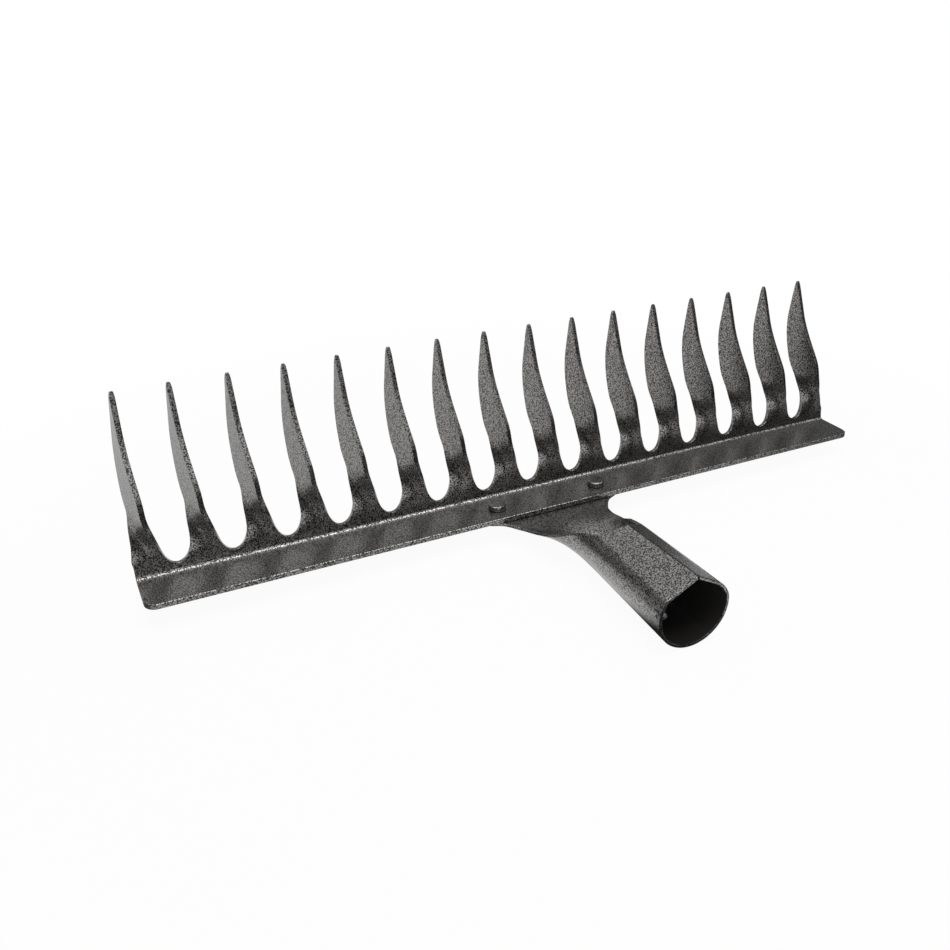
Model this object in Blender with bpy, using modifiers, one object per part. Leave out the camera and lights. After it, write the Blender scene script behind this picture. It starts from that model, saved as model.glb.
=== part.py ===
"""Garden rake head: one pressed steel comb of twisted teeth, a rolled handle socket, and two rivets.

Metres, +Z up. X runs along the bar, the handle would leave toward -Y, and the teeth point up.
The origin is at the middle of the part's own box, at its lowest point.
"""

import bpy
import bmesh
from math import atan2, cos, pi, radians, sin, sqrt, tan
from mathutils import Vector


# Comb: one sheet of steel, cut into teeth and folded along its length
COMB_SHEET = 0.0025
BAR_LENGTH = 0.400
TOOTH_COUNT = 16
LEFT_MARGIN = 0.00745           # bar end to the middle of the first tooth's root
RIGHT_MARGIN = 0.00825
SHELF_DEPTH = 0.0232            # front edge of the shelf to the inside corner of the fold
SHELF_CORNER_RADIUS = 0.006
FOLD_INSIDE_RADIUS = 0.0008
TEETH_LEAN = radians(9.4)       # lean of the teeth away from the handle, past square to the shelf
NOTCH_FLOOR = 0.0038            # inside corner of the fold to the bottom of a notch
NOTCH_WIDTH = 0.0142
NOTCH_ROUND = 0.0124            # height of a notch's half-elliptical bottom

# Tooth blade, measured up from the notch floor
TOOTH_LENGTH = 0.0790
BELLY_WIDTH = 0.0179            # widest part of the blade
BELLY_HEIGHT = 0.0328
TAPER_POWER = 1.35              # 1 is a straight taper to the tip, more keeps the belly full
SWEEP = 0.0115                  # how far the blade's middle line swings to one side of its root
SWEEP_START = 0.0064
SWEEP_END = 0.0611
TWIST_BLADE = radians(75.2)     # turn of the blade out of the sheet's plane
TWIST_START = 0.0004
TWIST_END = 0.0264
TWIST_EXTRA = radians(8.5)      # slow further turn from there to the tip
TWIST_AXIS_SHIFT = -0.0008      # axis of the twist, from the middle of the tooth's root
TIP_WIDTH = 0.0010
TIP_SHEET = 0.0011              # what the drawn-out point keeps of the sheet's thickness
TIP_ROUNDING = 0.0040           # length over which the point thins

# Socket: one thinner sheet, flat under the shelf, dished at the neck and rolled into a tube
SOCKET_SHEET = 0.0015
SOCKET_SHIFT = 0.0024           # the socket sits this far off the middle of the bar
PLATE_WIDTH = 0.080
PLATE_CORNER_RADIUS = 0.006
PLATE_BACK = 0.0025             # back edge of the plate, forward of the fold's inside corner
PLATE_FRONT = 0.0160            # where the plate's sides turn in toward the neck
NECK_WIDTH = 0.0446             # flat width of the sheet at its narrowest
NECK_FROM_FOLD = 0.0437
DISH_START = 0.0300             # the flat plate starts to dish here
TUBE_START = 0.0785             # front of the neck, where the rolled tube starts
TUBE_LENGTH = 0.0573
TUBE_BACK_RADIUS = 0.0151       # outside radii
TUBE_MOUTH_RADIUS = 0.0177
TUBE_BACK_DROP = 0.0096         # underside of the tube below the shelf's top, at each end
TUBE_MOUTH_DROP = 0.0123
ARC_BACK = radians(128.0)       # the round part of the tube, each way from the bottom
ARC_MOUTH = radians(121.0)
SEAM_DROP_BACK = 0.0001         # how far the seam lies below the full circle's top, at each end
SEAM_DROP_MOUTH = 0.0005
FLAP_SLANT = 0.0059             # how far the flaps' back edges slant toward the mouth at the seam
SEAM_GAP = 0.0008
MOUTH_SPARE = 0.0005            # rolled past the mouth, then cut off square

# Share of the way from the plate to the neck, and share of the narrowing still to come
NECK_CURVE = ((0.14, 0.87), (0.27, 0.50), (0.44, 0.28), (0.68, 0.08))
# Share of the way from the neck to the tube, and share of the widening already done
SKIRT_CURVE = ((0.30, 0.08), (0.70, 0.62))
DISH_SHARE = 0.84               # share of the way to the tube at which the dish is fully formed

# Nub pressed through the socket's left wall, which bites into the handle
NUB_FROM_MOUTH = 0.0026
NUB_TURN = radians(95.0)        # round the tube from its underside
NUB_RADIUS = 0.0015
NUB_STANDS_IN = 0.0007          # middle of the nub's ball, inward of the wall's inside face
DENT_RADIUS = 0.0020
DENT_DEPTH = 0.0006

# Rivets
RIVET_FROM_SIDE = 0.01095       # from the plate's side edge
RIVET_FROM_FOLD = 0.0127
RIVET_SHANK_DIAMETER = 0.0050
RIVET_HEAD_DIAMETER = 0.0088
RIVET_HEAD_HEIGHT = 0.0026
RIVET_EDGE_RADIUS = 0.0010
RIVET_TAIL_DIAMETER = 0.0084
RIVET_TAIL_HEIGHT = 0.0020

# Gap kept between pieces that touch, and the rivet's clearance in its holes
GAP = 0.0003
HOLE_CLEARANCE = 0.0003

# How finely curves are cut
TOOTH_COLUMNS = 3
NOTCH_STEPS = 6
BLADE_STEPS = 18
TIP_STEPS = 3
FOLD_STEPS = 4
CORNER_STEPS = 4
NECK_STEPS = 9
SKIRT_STEPS = 7
TUBE_STEPS = 6
SOCKET_COLUMNS = 16
FLAP_COLUMNS = 2
ROUND_SIDES = 32
NUB_SIDES = 16
MERGE_DISTANCE = 0.00001

# What follows from these
PITCH = (BAR_LENGTH - LEFT_MARGIN - RIGHT_MARGIN) / (TOOTH_COUNT - 1)
PLATE_TOP = -COMB_SHEET - GAP
PLATE_UNDERSIDE = PLATE_TOP - SOCKET_SHEET
MOUTH = TUBE_START + TUBE_LENGTH
DISH_END = TUBE_START - (1.0 - DISH_SHARE) * (TUBE_START - DISH_START)
RIVET_HOLE = RIVET_SHANK_DIAMETER + 2 * HOLE_CLEARANCE


def empty_the_file():
    for item in list(bpy.data.objects):
        bpy.data.objects.remove(item, do_unlink=True)


def new_collection(name):
    collection = bpy.data.collections.new(name)
    bpy.context.scene.collection.children.link(collection)
    return collection


def painted_steel(name, colour, roughness, metallic):
    material = bpy.data.materials.new(name)
    material.use_nodes = True
    shader = material.node_tree.nodes["Principled BSDF"]
    shader.inputs["Base Color"].default_value = (*colour, 1.0)
    shader.inputs["Roughness"].default_value = roughness
    shader.inputs["Metallic"].default_value = metallic
    return material


def object_from_rows(name, patches, collection, material):
    """Mesh of one or more patches, each a list of equally long rows of points."""
    mesh = bmesh.new()
    for rows in patches:
        grid = [[mesh.verts.new(point) for point in row] for row in rows]
        for lower, upper in zip(grid, grid[1:]):
            for i in range(len(lower) - 1):
                mesh.faces.new((lower[i], lower[i + 1], upper[i + 1], upper[i]))
    bmesh.ops.remove_doubles(mesh, verts=mesh.verts, dist=MERGE_DISTANCE)
    data = bpy.data.meshes.new(name)
    mesh.to_mesh(data)
    mesh.free()
    item = bpy.data.objects.new(name, data)
    item.data.materials.append(material)
    collection.objects.link(item)
    return item


def as_cutter(name, centre, rotation, collection):
    """Turns the primitive that was just added into a hidden cutter."""
    cutter = bpy.context.active_object
    cutter.name = name
    cutter.location = centre
    cutter.rotation_euler = rotation
    cutter.hide_render = True
    cutter.display_type = "WIRE"
    for owner in list(cutter.users_collection):
        owner.objects.unlink(cutter)
    collection.objects.link(cutter)
    return cutter


def combine(item, cutter, operation):
    boolean = item.modifiers.new(cutter.name, "BOOLEAN")
    boolean.operation = operation
    boolean.solver = "EXACT"
    boolean.object = cutter


def thicken(item, thickness, offset):
    solidify = item.modifiers.new("sheet", "SOLIDIFY")
    solidify.thickness = thickness
    solidify.offset = offset
    solidify.use_even_offset = True
    return solidify


def soften(item, angle):
    item.data.shade_smooth()
    item.data.set_sharp_from_angle(angle=angle)


def rivet_places():
    reach = PLATE_WIDTH / 2 - RIVET_FROM_SIDE
    return (("left", SOCKET_SHIFT - reach), ("right", SOCKET_SHIFT + reach))


def drill_for_rivets(item, sheet_middle, thickness, cutters):
    for side, x in rivet_places():
        bpy.ops.mesh.primitive_cylinder_add(vertices=ROUND_SIDES, radius=RIVET_HOLE / 2, depth=3 * thickness)
        centre = (x, -RIVET_FROM_FOLD, sheet_middle)
        cutter = as_cutter(item.name + "_hole_" + side, centre, (0, 0, 0), cutters)
        combine(item, cutter, "DIFFERENCE")


def ease(low, high, value):
    """Rises smoothly from 0 at low to 1 at high."""
    t = min(max((value - low) / (high - low), 0.0), 1.0)
    return t * t * (3.0 - 2.0 * t)


def blend(start, end, t):
    return start + (end - start) * t


# The tooth, laid out flat. Heights are above the notch floor, sideways is from the middle of its root.

def notch_half_width(height):
    t = min(height / NOTCH_ROUND, 1.0)
    return NOTCH_WIDTH / 2 * sqrt(1.0 - (1.0 - t) ** 2)


def blade_half_width(height):
    waist = (PITCH - NOTCH_WIDTH) / 2
    if height <= NOTCH_ROUND:
        return PITCH / 2 - notch_half_width(height)
    if height <= BELLY_HEIGHT:
        return blend(waist, BELLY_WIDTH / 2, ease(NOTCH_ROUND, BELLY_HEIGHT, height))
    t = (height - BELLY_HEIGHT) / (TOOTH_LENGTH - BELLY_HEIGHT)
    return blend(BELLY_WIDTH / 2, TIP_WIDTH / 2, t ** TAPER_POWER)


def blade_middle(height):
    return -SWEEP * ease(SWEEP_START, SWEEP_END, height)


def blade_twist(height):
    extra = TWIST_EXTRA * max(height - TWIST_END, 0.0) / (TOOTH_LENGTH - TWIST_END)
    return TWIST_BLADE * ease(TWIST_START, TWIST_END, height) + extra


def tooth_edges(height, number):
    """Left and right edges of a tooth. The bar's ends cut the outermost roots off straight."""
    left = blade_middle(height) - blade_half_width(height)
    right = blade_middle(height) + blade_half_width(height)
    if number == 0 and height < NOTCH_ROUND:
        left = max(left, -LEFT_MARGIN)
    if number == TOOTH_COUNT - 1 and height < NOTCH_ROUND:
        right = min(right, RIGHT_MARGIN)
    return left, right


# The folded sheet. Everything is placed from the inside corner of the fold, where shelf and teeth
# would meet if the fold had no radius: shelf top at z = 0, toward -Y, and the teeth leaning to +Y.

def on_the_teeth_side(across, up, behind):
    """A point by its height along the leaning sheet and its depth behind the sheet's front face."""
    y = up * sin(TEETH_LEAN) + behind * cos(TEETH_LEAN)
    z = up * cos(TEETH_LEAN) - behind * sin(TEETH_LEAN)
    return Vector((across, y, z))


def height_on_the_teeth_side(point):
    """Height above the notch floor, along the leaning sheet."""
    return point.y * sin(TEETH_LEAN) + point.z * cos(TEETH_LEAN) - NOTCH_FLOOR


def tooth_place(number):
    return -BAR_LENGTH / 2 + LEFT_MARGIN + number * PITCH


def tooth_heights():
    notch = [NOTCH_ROUND * (1.0 - cos(pi / 2 * i / NOTCH_STEPS)) for i in range(NOTCH_STEPS)]
    span = TOOTH_LENGTH - TIP_ROUNDING - NOTCH_ROUND
    blade = [NOTCH_ROUND + span * i / BLADE_STEPS for i in range(BLADE_STEPS)]
    point = [TOOTH_LENGTH - TIP_ROUNDING * (1.0 - sin(pi / 2 * i / TIP_STEPS)) for i in range(TIP_STEPS + 1)]
    return notch + blade + point


def tooth_rows(number):
    rows = []
    for height in tooth_heights():
        left, right = tooth_edges(height, number)
        turn = blade_twist(height)
        row = []
        for column in range(TOOTH_COLUMNS + 1):
            sideways = blend(left, right, column / TOOTH_COLUMNS) - TWIST_AXIS_SHIFT
            across = tooth_place(number) + TWIST_AXIS_SHIFT + sideways * cos(turn)
            behind = COMB_SHEET / 2 - sideways * sin(turn)
            row.append(on_the_teeth_side(across, NOTCH_FLOOR + height, behind))
        rows.append(row)
    return rows


def bar_columns(number, end_cut):
    """Sideways places across one tooth's share of the bar, drawn in at the bar's two ends."""
    left = -LEFT_MARGIN + end_cut if number == 0 else -PITCH / 2
    right = RIGHT_MARGIN - end_cut if number == TOOTH_COUNT - 1 else PITCH / 2
    return [tooth_place(number) + blend(left, right, i / TOOTH_COLUMNS) for i in range(TOOTH_COLUMNS + 1)]


def bar_rows(number):
    """From the shelf's front edge, round the fold, up to the notch floor."""
    bend = pi / 2 - TEETH_LEAN
    setback = FOLD_INSIDE_RADIUS * tan(bend / 2)
    fold_middle = FOLD_INSIDE_RADIUS + COMB_SHEET / 2
    rows = []
    for i in range(CORNER_STEPS + 1):
        turn = pi / 2 * i / CORNER_STEPS
        y = SHELF_CORNER_RADIUS * (1.0 - cos(turn)) - SHELF_DEPTH
        end_cut = SHELF_CORNER_RADIUS * (1.0 - sin(turn))
        rows.append([Vector((x, y, -COMB_SHEET / 2)) for x in bar_columns(number, end_cut)])
    for i in range(FOLD_STEPS + 1):
        turn = bend * i / FOLD_STEPS
        y = -setback + fold_middle * sin(turn)
        z = FOLD_INSIDE_RADIUS - fold_middle * cos(turn)
        rows.append([Vector((x, y, z)) for x in bar_columns(number, 0.0)])
    rows.append([on_the_teeth_side(x, NOTCH_FLOOR, COMB_SHEET / 2) for x in bar_columns(number, 0.0)])
    return rows


def thin_the_points(comb, solidify):
    """The teeth's points lose thickness in a quarter round. Weight 1 keeps the whole sheet."""
    group = comb.vertex_groups.new(name="sheet_kept")
    for vertex in comb.data.vertices:
        into = height_on_the_teeth_side(vertex.co) - (TOOTH_LENGTH - TIP_ROUNDING)
        share = min(max(into / TIP_ROUNDING, 0.0), 1.0)
        group.add([vertex.index], sqrt(1.0 - share ** 2), "REPLACE")
    solidify.vertex_group = group.name
    solidify.thickness_vertex_group = TIP_SHEET / COMB_SHEET


def make_comb(collection, cutters, material):
    patches = []
    for number in range(TOOTH_COUNT):
        patches.append(bar_rows(number))
        patches.append(tooth_rows(number))
    comb = object_from_rows("comb", patches, collection, material)
    thin_the_points(comb, thicken(comb, COMB_SHEET, 0.0))
    drill_for_rivets(comb, -COMB_SHEET / 2, COMB_SHEET, cutters)
    soften(comb, radians(35))
    return comb


# The socket, as a sheet given by its outside face. Distances are forward of the fold's inside corner.

def through_points(points, at):
    """Smooth curve through (distance, value) points, without overshoot."""
    slopes = [(vb - va) / (b - a) for (a, va), (b, vb) in zip(points, points[1:])]
    tangents = [slopes[0]]
    for before, after in zip(slopes, slopes[1:]):
        tangents.append(0.0 if before * after <= 0 else 2 * before * after / (before + after))
    tangents.append(slopes[-1])
    last = len(points) - 2
    i = next((k for k in range(last) if at <= points[k + 1][0]), last)
    (a, va), (b, vb) = points[i], points[i + 1]
    t = (at - a) / (b - a)
    rise = (b - a) * (t * (1 - t) ** 2 * tangents[i] - t * t * (1 - t) * tangents[i + 1])
    return blend(va, vb, t * t * (3 - 2 * t)) + rise


def sheet_half_width(forward):
    """Half the flat width of the sheet, from the plate through the neck to the start of the tube."""
    edge = PLATE_WIDTH / 2
    waist = NECK_WIDTH / 2
    tube = TUBE_BACK_RADIUS * ARC_BACK
    corner_end = PLATE_BACK + PLATE_CORNER_RADIUS
    if forward < corner_end:
        inset = corner_end - forward
        return edge - PLATE_CORNER_RADIUS + sqrt(max(PLATE_CORNER_RADIUS ** 2 - inset ** 2, 0.0))
    outline = [(corner_end, edge), (PLATE_FRONT, edge)]
    for way, left_over in NECK_CURVE:
        outline.append((blend(PLATE_FRONT, NECK_FROM_FOLD, way), blend(waist, edge, left_over)))
    outline.append((NECK_FROM_FOLD, waist))
    for way, done in SKIRT_CURVE:
        outline.append((blend(NECK_FROM_FOLD, TUBE_START, way), blend(waist, tube, done)))
    outline.append((TUBE_START, tube))
    return through_points(outline, forward)


def tube_share(forward):
    return (forward - TUBE_START) / TUBE_LENGTH


def underside(forward):
    """Height of the sheet's underside on the socket's middle line."""
    if forward > DISH_END:
        return -blend(TUBE_BACK_DROP, TUBE_MOUTH_DROP, (forward - DISH_END) / (MOUTH - DISH_END))
    return blend(PLATE_UNDERSIDE, -TUBE_BACK_DROP, ease(DISH_START, DISH_END, forward))


def curvature(forward):
    """One over the outside radius: nothing on the plate, growing through the neck."""
    if forward > TUBE_START:
        return 1.0 / blend(TUBE_BACK_RADIUS, TUBE_MOUTH_RADIUS, tube_share(forward))
    return ease(DISH_START, DISH_END, forward) / TUBE_BACK_RADIUS


def arc_point(forward, along):
    """A point of the outside face, by its distance round the sheet from the middle line."""
    bend = curvature(forward)
    if bend == 0.0:
        return Vector((SOCKET_SHIFT + along, -forward, underside(forward)))
    turn = bend * along
    x = SOCKET_SHIFT + sin(turn) / bend
    z = underside(forward) + (1.0 - cos(turn)) / bend
    return Vector((x, -forward, z))


def arc_half_width(forward):
    if forward <= TUBE_START:
        return sheet_half_width(forward)
    return blend(ARC_BACK, ARC_MOUTH, tube_share(forward)) / curvature(forward)


def flap_point(forward, side, share):
    """A point of a flat flap, from the round part (0) to the line where both flaps meet (1)."""
    corner = arc_point(forward, side * arc_half_width(forward))
    round_top = underside(forward) + 2.0 / curvature(forward)
    seam = round_top - blend(SEAM_DROP_BACK, SEAM_DROP_MOUTH, tube_share(forward))
    return corner.lerp(Vector((SOCKET_SHIFT, -forward, seam)), share)


def tube_stations():
    """Places along the tube, closer together at its back end."""
    reach = TUBE_LENGTH + MOUTH_SPARE
    return [TUBE_START + reach * (i / TUBE_STEPS) ** 1.5 for i in range(TUBE_STEPS + 1)]


def neck_stations():
    corner = [PLATE_BACK + PLATE_CORNER_RADIUS * (1.0 - cos(pi / 2 * i / CORNER_STEPS))
              for i in range(CORNER_STEPS + 1)]
    turn_in = [blend(PLATE_FRONT, NECK_FROM_FOLD, (i / NECK_STEPS) ** 1.3) for i in range(NECK_STEPS)]
    skirt = [blend(NECK_FROM_FOLD, TUBE_START, i / SKIRT_STEPS) for i in range(SKIRT_STEPS)]
    return corner + turn_in + skirt


def flap_rows(side):
    """One flap. Its back edge slants toward the mouth as it nears the seam."""
    rows = []
    for forward in tube_stations():
        row = []
        for i in range(FLAP_COLUMNS + 1):
            share = i / FLAP_COLUMNS
            slant = FLAP_SLANT * share * max(1.0 - tube_share(forward), 0.0)
            row.append(flap_point(forward + slant, side, share))
        rows.append(row if side > 0 else row[::-1])
    return rows


def press_the_nub(socket, cutters):
    """A ball joined to the inside of the left wall, and a shallow dent in the outside behind it."""
    forward = MOUTH - NUB_FROM_MOUTH
    outside = arc_point(forward, -NUB_TURN / curvature(forward))
    inward = Vector((sin(NUB_TURN), 0.0, cos(NUB_TURN)))
    turned = (0.0, atan2(inward.x, inward.z), 0.0)
    bpy.ops.mesh.primitive_uv_sphere_add(segments=NUB_SIDES, ring_count=NUB_SIDES // 2, radius=NUB_RADIUS)
    ball_place = outside + inward * (SOCKET_SHEET + NUB_STANDS_IN)
    combine(socket, as_cutter("nub_ball", ball_place, turned, cutters), "UNION")
    bpy.ops.mesh.primitive_uv_sphere_add(segments=NUB_SIDES, ring_count=NUB_SIDES // 2, radius=DENT_RADIUS)
    dent_place = outside - inward * (DENT_RADIUS - DENT_DEPTH)
    combine(socket, as_cutter("nub_dent", dent_place, turned, cutters), "DIFFERENCE")


def cut_with_a_box(item, name, low, high, cutters):
    """Takes away everything between two opposite corners."""
    bpy.ops.mesh.primitive_cube_add(size=1.0)
    centre = (Vector(low) + Vector(high)) / 2
    cutter = as_cutter(name, centre, (0, 0, 0), cutters)
    cutter.scale = Vector(high) - Vector(low)
    combine(item, cutter, "DIFFERENCE")


def open_the_seam(socket, cutters):
    """Parts the two flaps with a narrow slot, and cuts the mouth off square."""
    middle = TUBE_BACK_RADIUS - TUBE_BACK_DROP
    beyond = MOUTH + 2 * TUBE_MOUTH_RADIUS
    low = (SOCKET_SHIFT - SEAM_GAP / 2, -beyond, middle)
    high = (SOCKET_SHIFT + SEAM_GAP / 2, -TUBE_START, middle + 2 * TUBE_MOUTH_RADIUS)
    cut_with_a_box(socket, "seam_cut", low, high, cutters)
    low = (SOCKET_SHIFT - 2 * TUBE_MOUTH_RADIUS, -beyond, middle - 2 * TUBE_MOUTH_RADIUS)
    high = (SOCKET_SHIFT + 2 * TUBE_MOUTH_RADIUS, -MOUTH, middle + 2 * TUBE_MOUTH_RADIUS)
    cut_with_a_box(socket, "mouth_cut", low, high, cutters)


def make_socket(collection, cutters, material):
    body = []
    for forward in neck_stations() + tube_stations():
        reach = arc_half_width(forward)
        shares = [2 * i / SOCKET_COLUMNS - 1 for i in range(SOCKET_COLUMNS + 1)]
        body.append([arc_point(forward, reach * share) for share in shares])
    patches = [body, flap_rows(-1), flap_rows(1)]
    socket = object_from_rows("socket", patches, collection, material)
    thicken(socket, SOCKET_SHEET, -1.0)
    drill_for_rivets(socket, PLATE_UNDERSIDE + SOCKET_SHEET / 2, SOCKET_SHEET, cutters)
    open_the_seam(socket, cutters)
    press_the_nub(socket, cutters)
    soften(socket, radians(28))
    return socket


def quarter_round(radius, height, upper):
    """Rim of a rivet's head or tail, from its top down."""
    points = []
    for i in range(CORNER_STEPS + 1):
        turn = pi / 2 * i / CORNER_STEPS
        inset = RIVET_EDGE_RADIUS * (1.0 - (sin(turn) if upper else cos(turn)))
        drop = RIVET_EDGE_RADIUS * ((1.0 - cos(turn)) if upper else sin(turn) - 1.0)
        points.append((radius - inset, height - drop))
    return points


def make_rivet(side, x, collection, material):
    """Turned profile, from the middle of the head's top down to the middle of the tail."""
    head_top = GAP + RIVET_HEAD_HEIGHT
    tail_seat = PLATE_UNDERSIDE - GAP
    tail_end = tail_seat - RIVET_TAIL_HEIGHT
    shank = RIVET_SHANK_DIAMETER / 2
    outline = [(0.0, head_top)]
    outline += quarter_round(RIVET_HEAD_DIAMETER / 2, head_top, True)
    outline += [(RIVET_HEAD_DIAMETER / 2, GAP), (shank, GAP), (shank, tail_seat)]
    outline.append((RIVET_TAIL_DIAMETER / 2, tail_seat))
    outline += quarter_round(RIVET_TAIL_DIAMETER / 2, tail_end, False)
    outline.append((0.0, tail_end))
    data = bpy.data.meshes.new("rivet_" + side)
    points = [(radius, 0.0, z) for radius, z in outline]
    data.from_pydata(points, [(i, i + 1) for i in range(len(points) - 1)], [])
    data.materials.append(material)
    rivet = bpy.data.objects.new("rivet_" + side, data)
    rivet.location = (x, -RIVET_FROM_FOLD, 0.0)
    screw = rivet.modifiers.new("turned", "SCREW")
    screw.steps = ROUND_SIDES
    screw.render_steps = ROUND_SIDES
    screw.use_merge_vertices = True
    screw.merge_threshold = MERGE_DISTANCE
    collection.objects.link(rivet)
    soften(rivet, radians(40))
    return rivet


def stand_on_the_origin(parts, everything):
    """Moves all of it so that the middle of the part's box, at its base, is at the origin."""
    bpy.context.view_layer.update()
    graph = bpy.context.evaluated_depsgraph_get()
    corners = []
    for part in parts:
        shape = part.evaluated_get(graph).to_mesh()
        corners += [part.matrix_world @ vertex.co for vertex in shape.vertices]
    low = Vector([min(point[axis] for point in corners) for axis in range(3)])
    high = Vector([max(point[axis] for point in corners) for axis in range(3)])
    shift = Vector((-(low.x + high.x) / 2, -(low.y + high.y) / 2, -low.z))
    for item in everything:
        item.location = item.location + shift


def main():
    empty_the_file()
    parts = new_collection("garden_rake")
    cutters = new_collection("cutters")
    comb_paint = painted_steel("comb_hammer_paint", (0.075, 0.072, 0.070), 0.42, 0.55)
    socket_paint = painted_steel("socket_hammer_paint", (0.085, 0.082, 0.080), 0.42, 0.55)
    rivet_paint = painted_steel("rivet_hammer_paint", (0.060, 0.058, 0.056), 0.40, 0.55)
    made = [make_comb(parts, cutters, comb_paint), make_socket(parts, cutters, socket_paint)]
    for side, x in rivet_places():
        made.append(make_rivet(side, x, parts, rivet_paint))
    stand_on_the_origin(made, made + list(cutters.objects))


main()
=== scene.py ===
"""A garden rake head in hammer paint: a pressed steel comb, a rolled handle socket and two rivets."""

from math import cos, pi, radians, sin, sqrt, tan

import bmesh
import bpy
from mathutils import Matrix, Vector


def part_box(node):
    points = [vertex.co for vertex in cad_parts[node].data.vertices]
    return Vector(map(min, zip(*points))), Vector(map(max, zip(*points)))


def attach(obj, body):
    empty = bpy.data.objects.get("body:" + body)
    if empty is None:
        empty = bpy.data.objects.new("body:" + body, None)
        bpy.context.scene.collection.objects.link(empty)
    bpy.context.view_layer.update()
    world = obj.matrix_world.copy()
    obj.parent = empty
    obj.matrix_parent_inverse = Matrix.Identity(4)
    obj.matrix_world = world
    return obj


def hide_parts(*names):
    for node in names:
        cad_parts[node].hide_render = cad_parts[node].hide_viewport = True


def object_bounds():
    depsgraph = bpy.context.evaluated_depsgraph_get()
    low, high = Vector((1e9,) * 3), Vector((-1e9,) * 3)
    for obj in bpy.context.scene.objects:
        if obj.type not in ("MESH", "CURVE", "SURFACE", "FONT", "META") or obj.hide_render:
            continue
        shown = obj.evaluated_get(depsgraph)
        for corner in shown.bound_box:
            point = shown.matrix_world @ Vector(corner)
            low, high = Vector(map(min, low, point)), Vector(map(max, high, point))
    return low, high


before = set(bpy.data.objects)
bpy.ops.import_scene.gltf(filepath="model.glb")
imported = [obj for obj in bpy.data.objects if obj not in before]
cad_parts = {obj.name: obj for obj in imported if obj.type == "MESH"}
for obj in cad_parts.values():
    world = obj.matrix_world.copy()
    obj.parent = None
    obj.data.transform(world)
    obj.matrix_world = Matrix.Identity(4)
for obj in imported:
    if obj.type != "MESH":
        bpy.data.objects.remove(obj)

cad_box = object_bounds()


# The comb's bar
# One strip of 2.5 mm steel runs the whole width of the rake. Its front part lies flat as a shelf, and
# it is folded up lengthwise just in front of the teeth. The shelf's front corners are rounded off.

COMB_SHEET = 0.0025
BAR_LENGTH = 0.400
TOOTH_COUNT = 16
LEFT_MARGIN = 0.00745
RIGHT_MARGIN = 0.00825
LEFT_END_SHORT = 0.0012
LEFT_END_SLOPE = 0.0090
SHELF_DEPTH = 0.0232
SHELF_CORNER_RADIUS = 0.0054
FOLD_INSIDE_RADIUS = 0.0018
TEETH_LEAN = radians(9.4)
NOTCH_FLOOR = 0.0038
PITCH = (BAR_LENGTH - LEFT_MARGIN - RIGHT_MARGIN) / (TOOTH_COUNT - 1)
CROSS_COLUMNS = 3
SHELF_ROWS = 2
CORNER_STEPS = 10
FOLD_ROWS = 10
WELD_DISTANCE = 0.00001
EDGE_ROUNDING = 0.00022
RIM_ROUNDING = 0.00052
RIM_ROUNDING_END = 0.01624
RIM_STEPS = 3
ROUND_PROFILE = 0.5
WIDE_FACE_WEIGHT = 100

comb_low, comb_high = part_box("comb")
BAR_MIDDLE = (comb_low.x + comb_high.x) / 2
FOLD_CORNER = Vector((BAR_MIDDLE, comb_low.y + SHELF_DEPTH, comb_low.z + COMB_SHEET))
FIRST_TOOTH_PLACE = Vector((LEFT_MARGIN - BAR_LENGTH / 2, 0.0, 0.0))


def blend(start, end, t):
    """The value a share t of the way from start to end."""
    return start + (end - start) * t


def sheet_mesh(name, patches):
    """A sheet of steel without thickness, from patches of equally long rows of points."""
    mesh = bmesh.new()
    for rows in patches:
        grid = [[mesh.verts.new(point) for point in row] for row in rows]
        for lower, upper in zip(grid, grid[1:]):
            for i in range(len(lower) - 1):
                mesh.faces.new((lower[i], lower[i + 1], upper[i + 1], upper[i]))
    bmesh.ops.remove_doubles(mesh, verts=mesh.verts, dist=WELD_DISTANCE)
    data = bpy.data.meshes.new(name)
    mesh.to_mesh(data)
    mesh.free()
    item = bpy.data.objects.new(name, data)
    bpy.context.scene.collection.objects.link(item)
    return item


def bar_columns(number):
    """Sideways places over one tooth's share of the bar."""
    left = -LEFT_MARGIN if number == 0 else -PITCH / 2
    right = RIGHT_MARGIN if number == TOOTH_COUNT - 1 else PITCH / 2
    middle = FIRST_TOOTH_PLACE.x + number * PITCH
    return [middle + blend(left, right, i / CROSS_COLUMNS) for i in range(CROSS_COLUMNS + 1)]


def bar_rows(number):
    """Middle of the sheet's thickness, from the shelf's front edge, round the fold, to the notches."""
    bend = pi / 2 - TEETH_LEAN
    setback = FOLD_INSIDE_RADIUS * tan(bend / 2)
    fold_middle = FOLD_INSIDE_RADIUS + COMB_SHEET / 2
    places = [(blend(-SHELF_DEPTH, -setback, i / SHELF_ROWS), -COMB_SHEET / 2) for i in range(SHELF_ROWS)]
    for i in range(FOLD_ROWS + 1):
        turn = bend * i / FOLD_ROWS
        places.append((-setback + fold_middle * sin(turn), FOLD_INSIDE_RADIUS - fold_middle * cos(turn)))
    y = NOTCH_FLOOR * sin(TEETH_LEAN) + COMB_SHEET / 2 * cos(TEETH_LEAN)
    z = NOTCH_FLOOR * cos(TEETH_LEAN) - COMB_SHEET / 2 * sin(TEETH_LEAN)
    places.append((y, z))
    return [[Vector((x, y, z)) for x in bar_columns(number)] for y, z in places]


bar = sheet_mesh("bar", [bar_rows(number) for number in range(TOOTH_COUNT)])


# The teeth
# Sixteen leaf-shaped teeth stand in one piece with the bar. Each is cut flat, with a rounded notch to
# its neighbour, and then a die twists the blade almost square to the bar and swings it over to one side.

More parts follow.
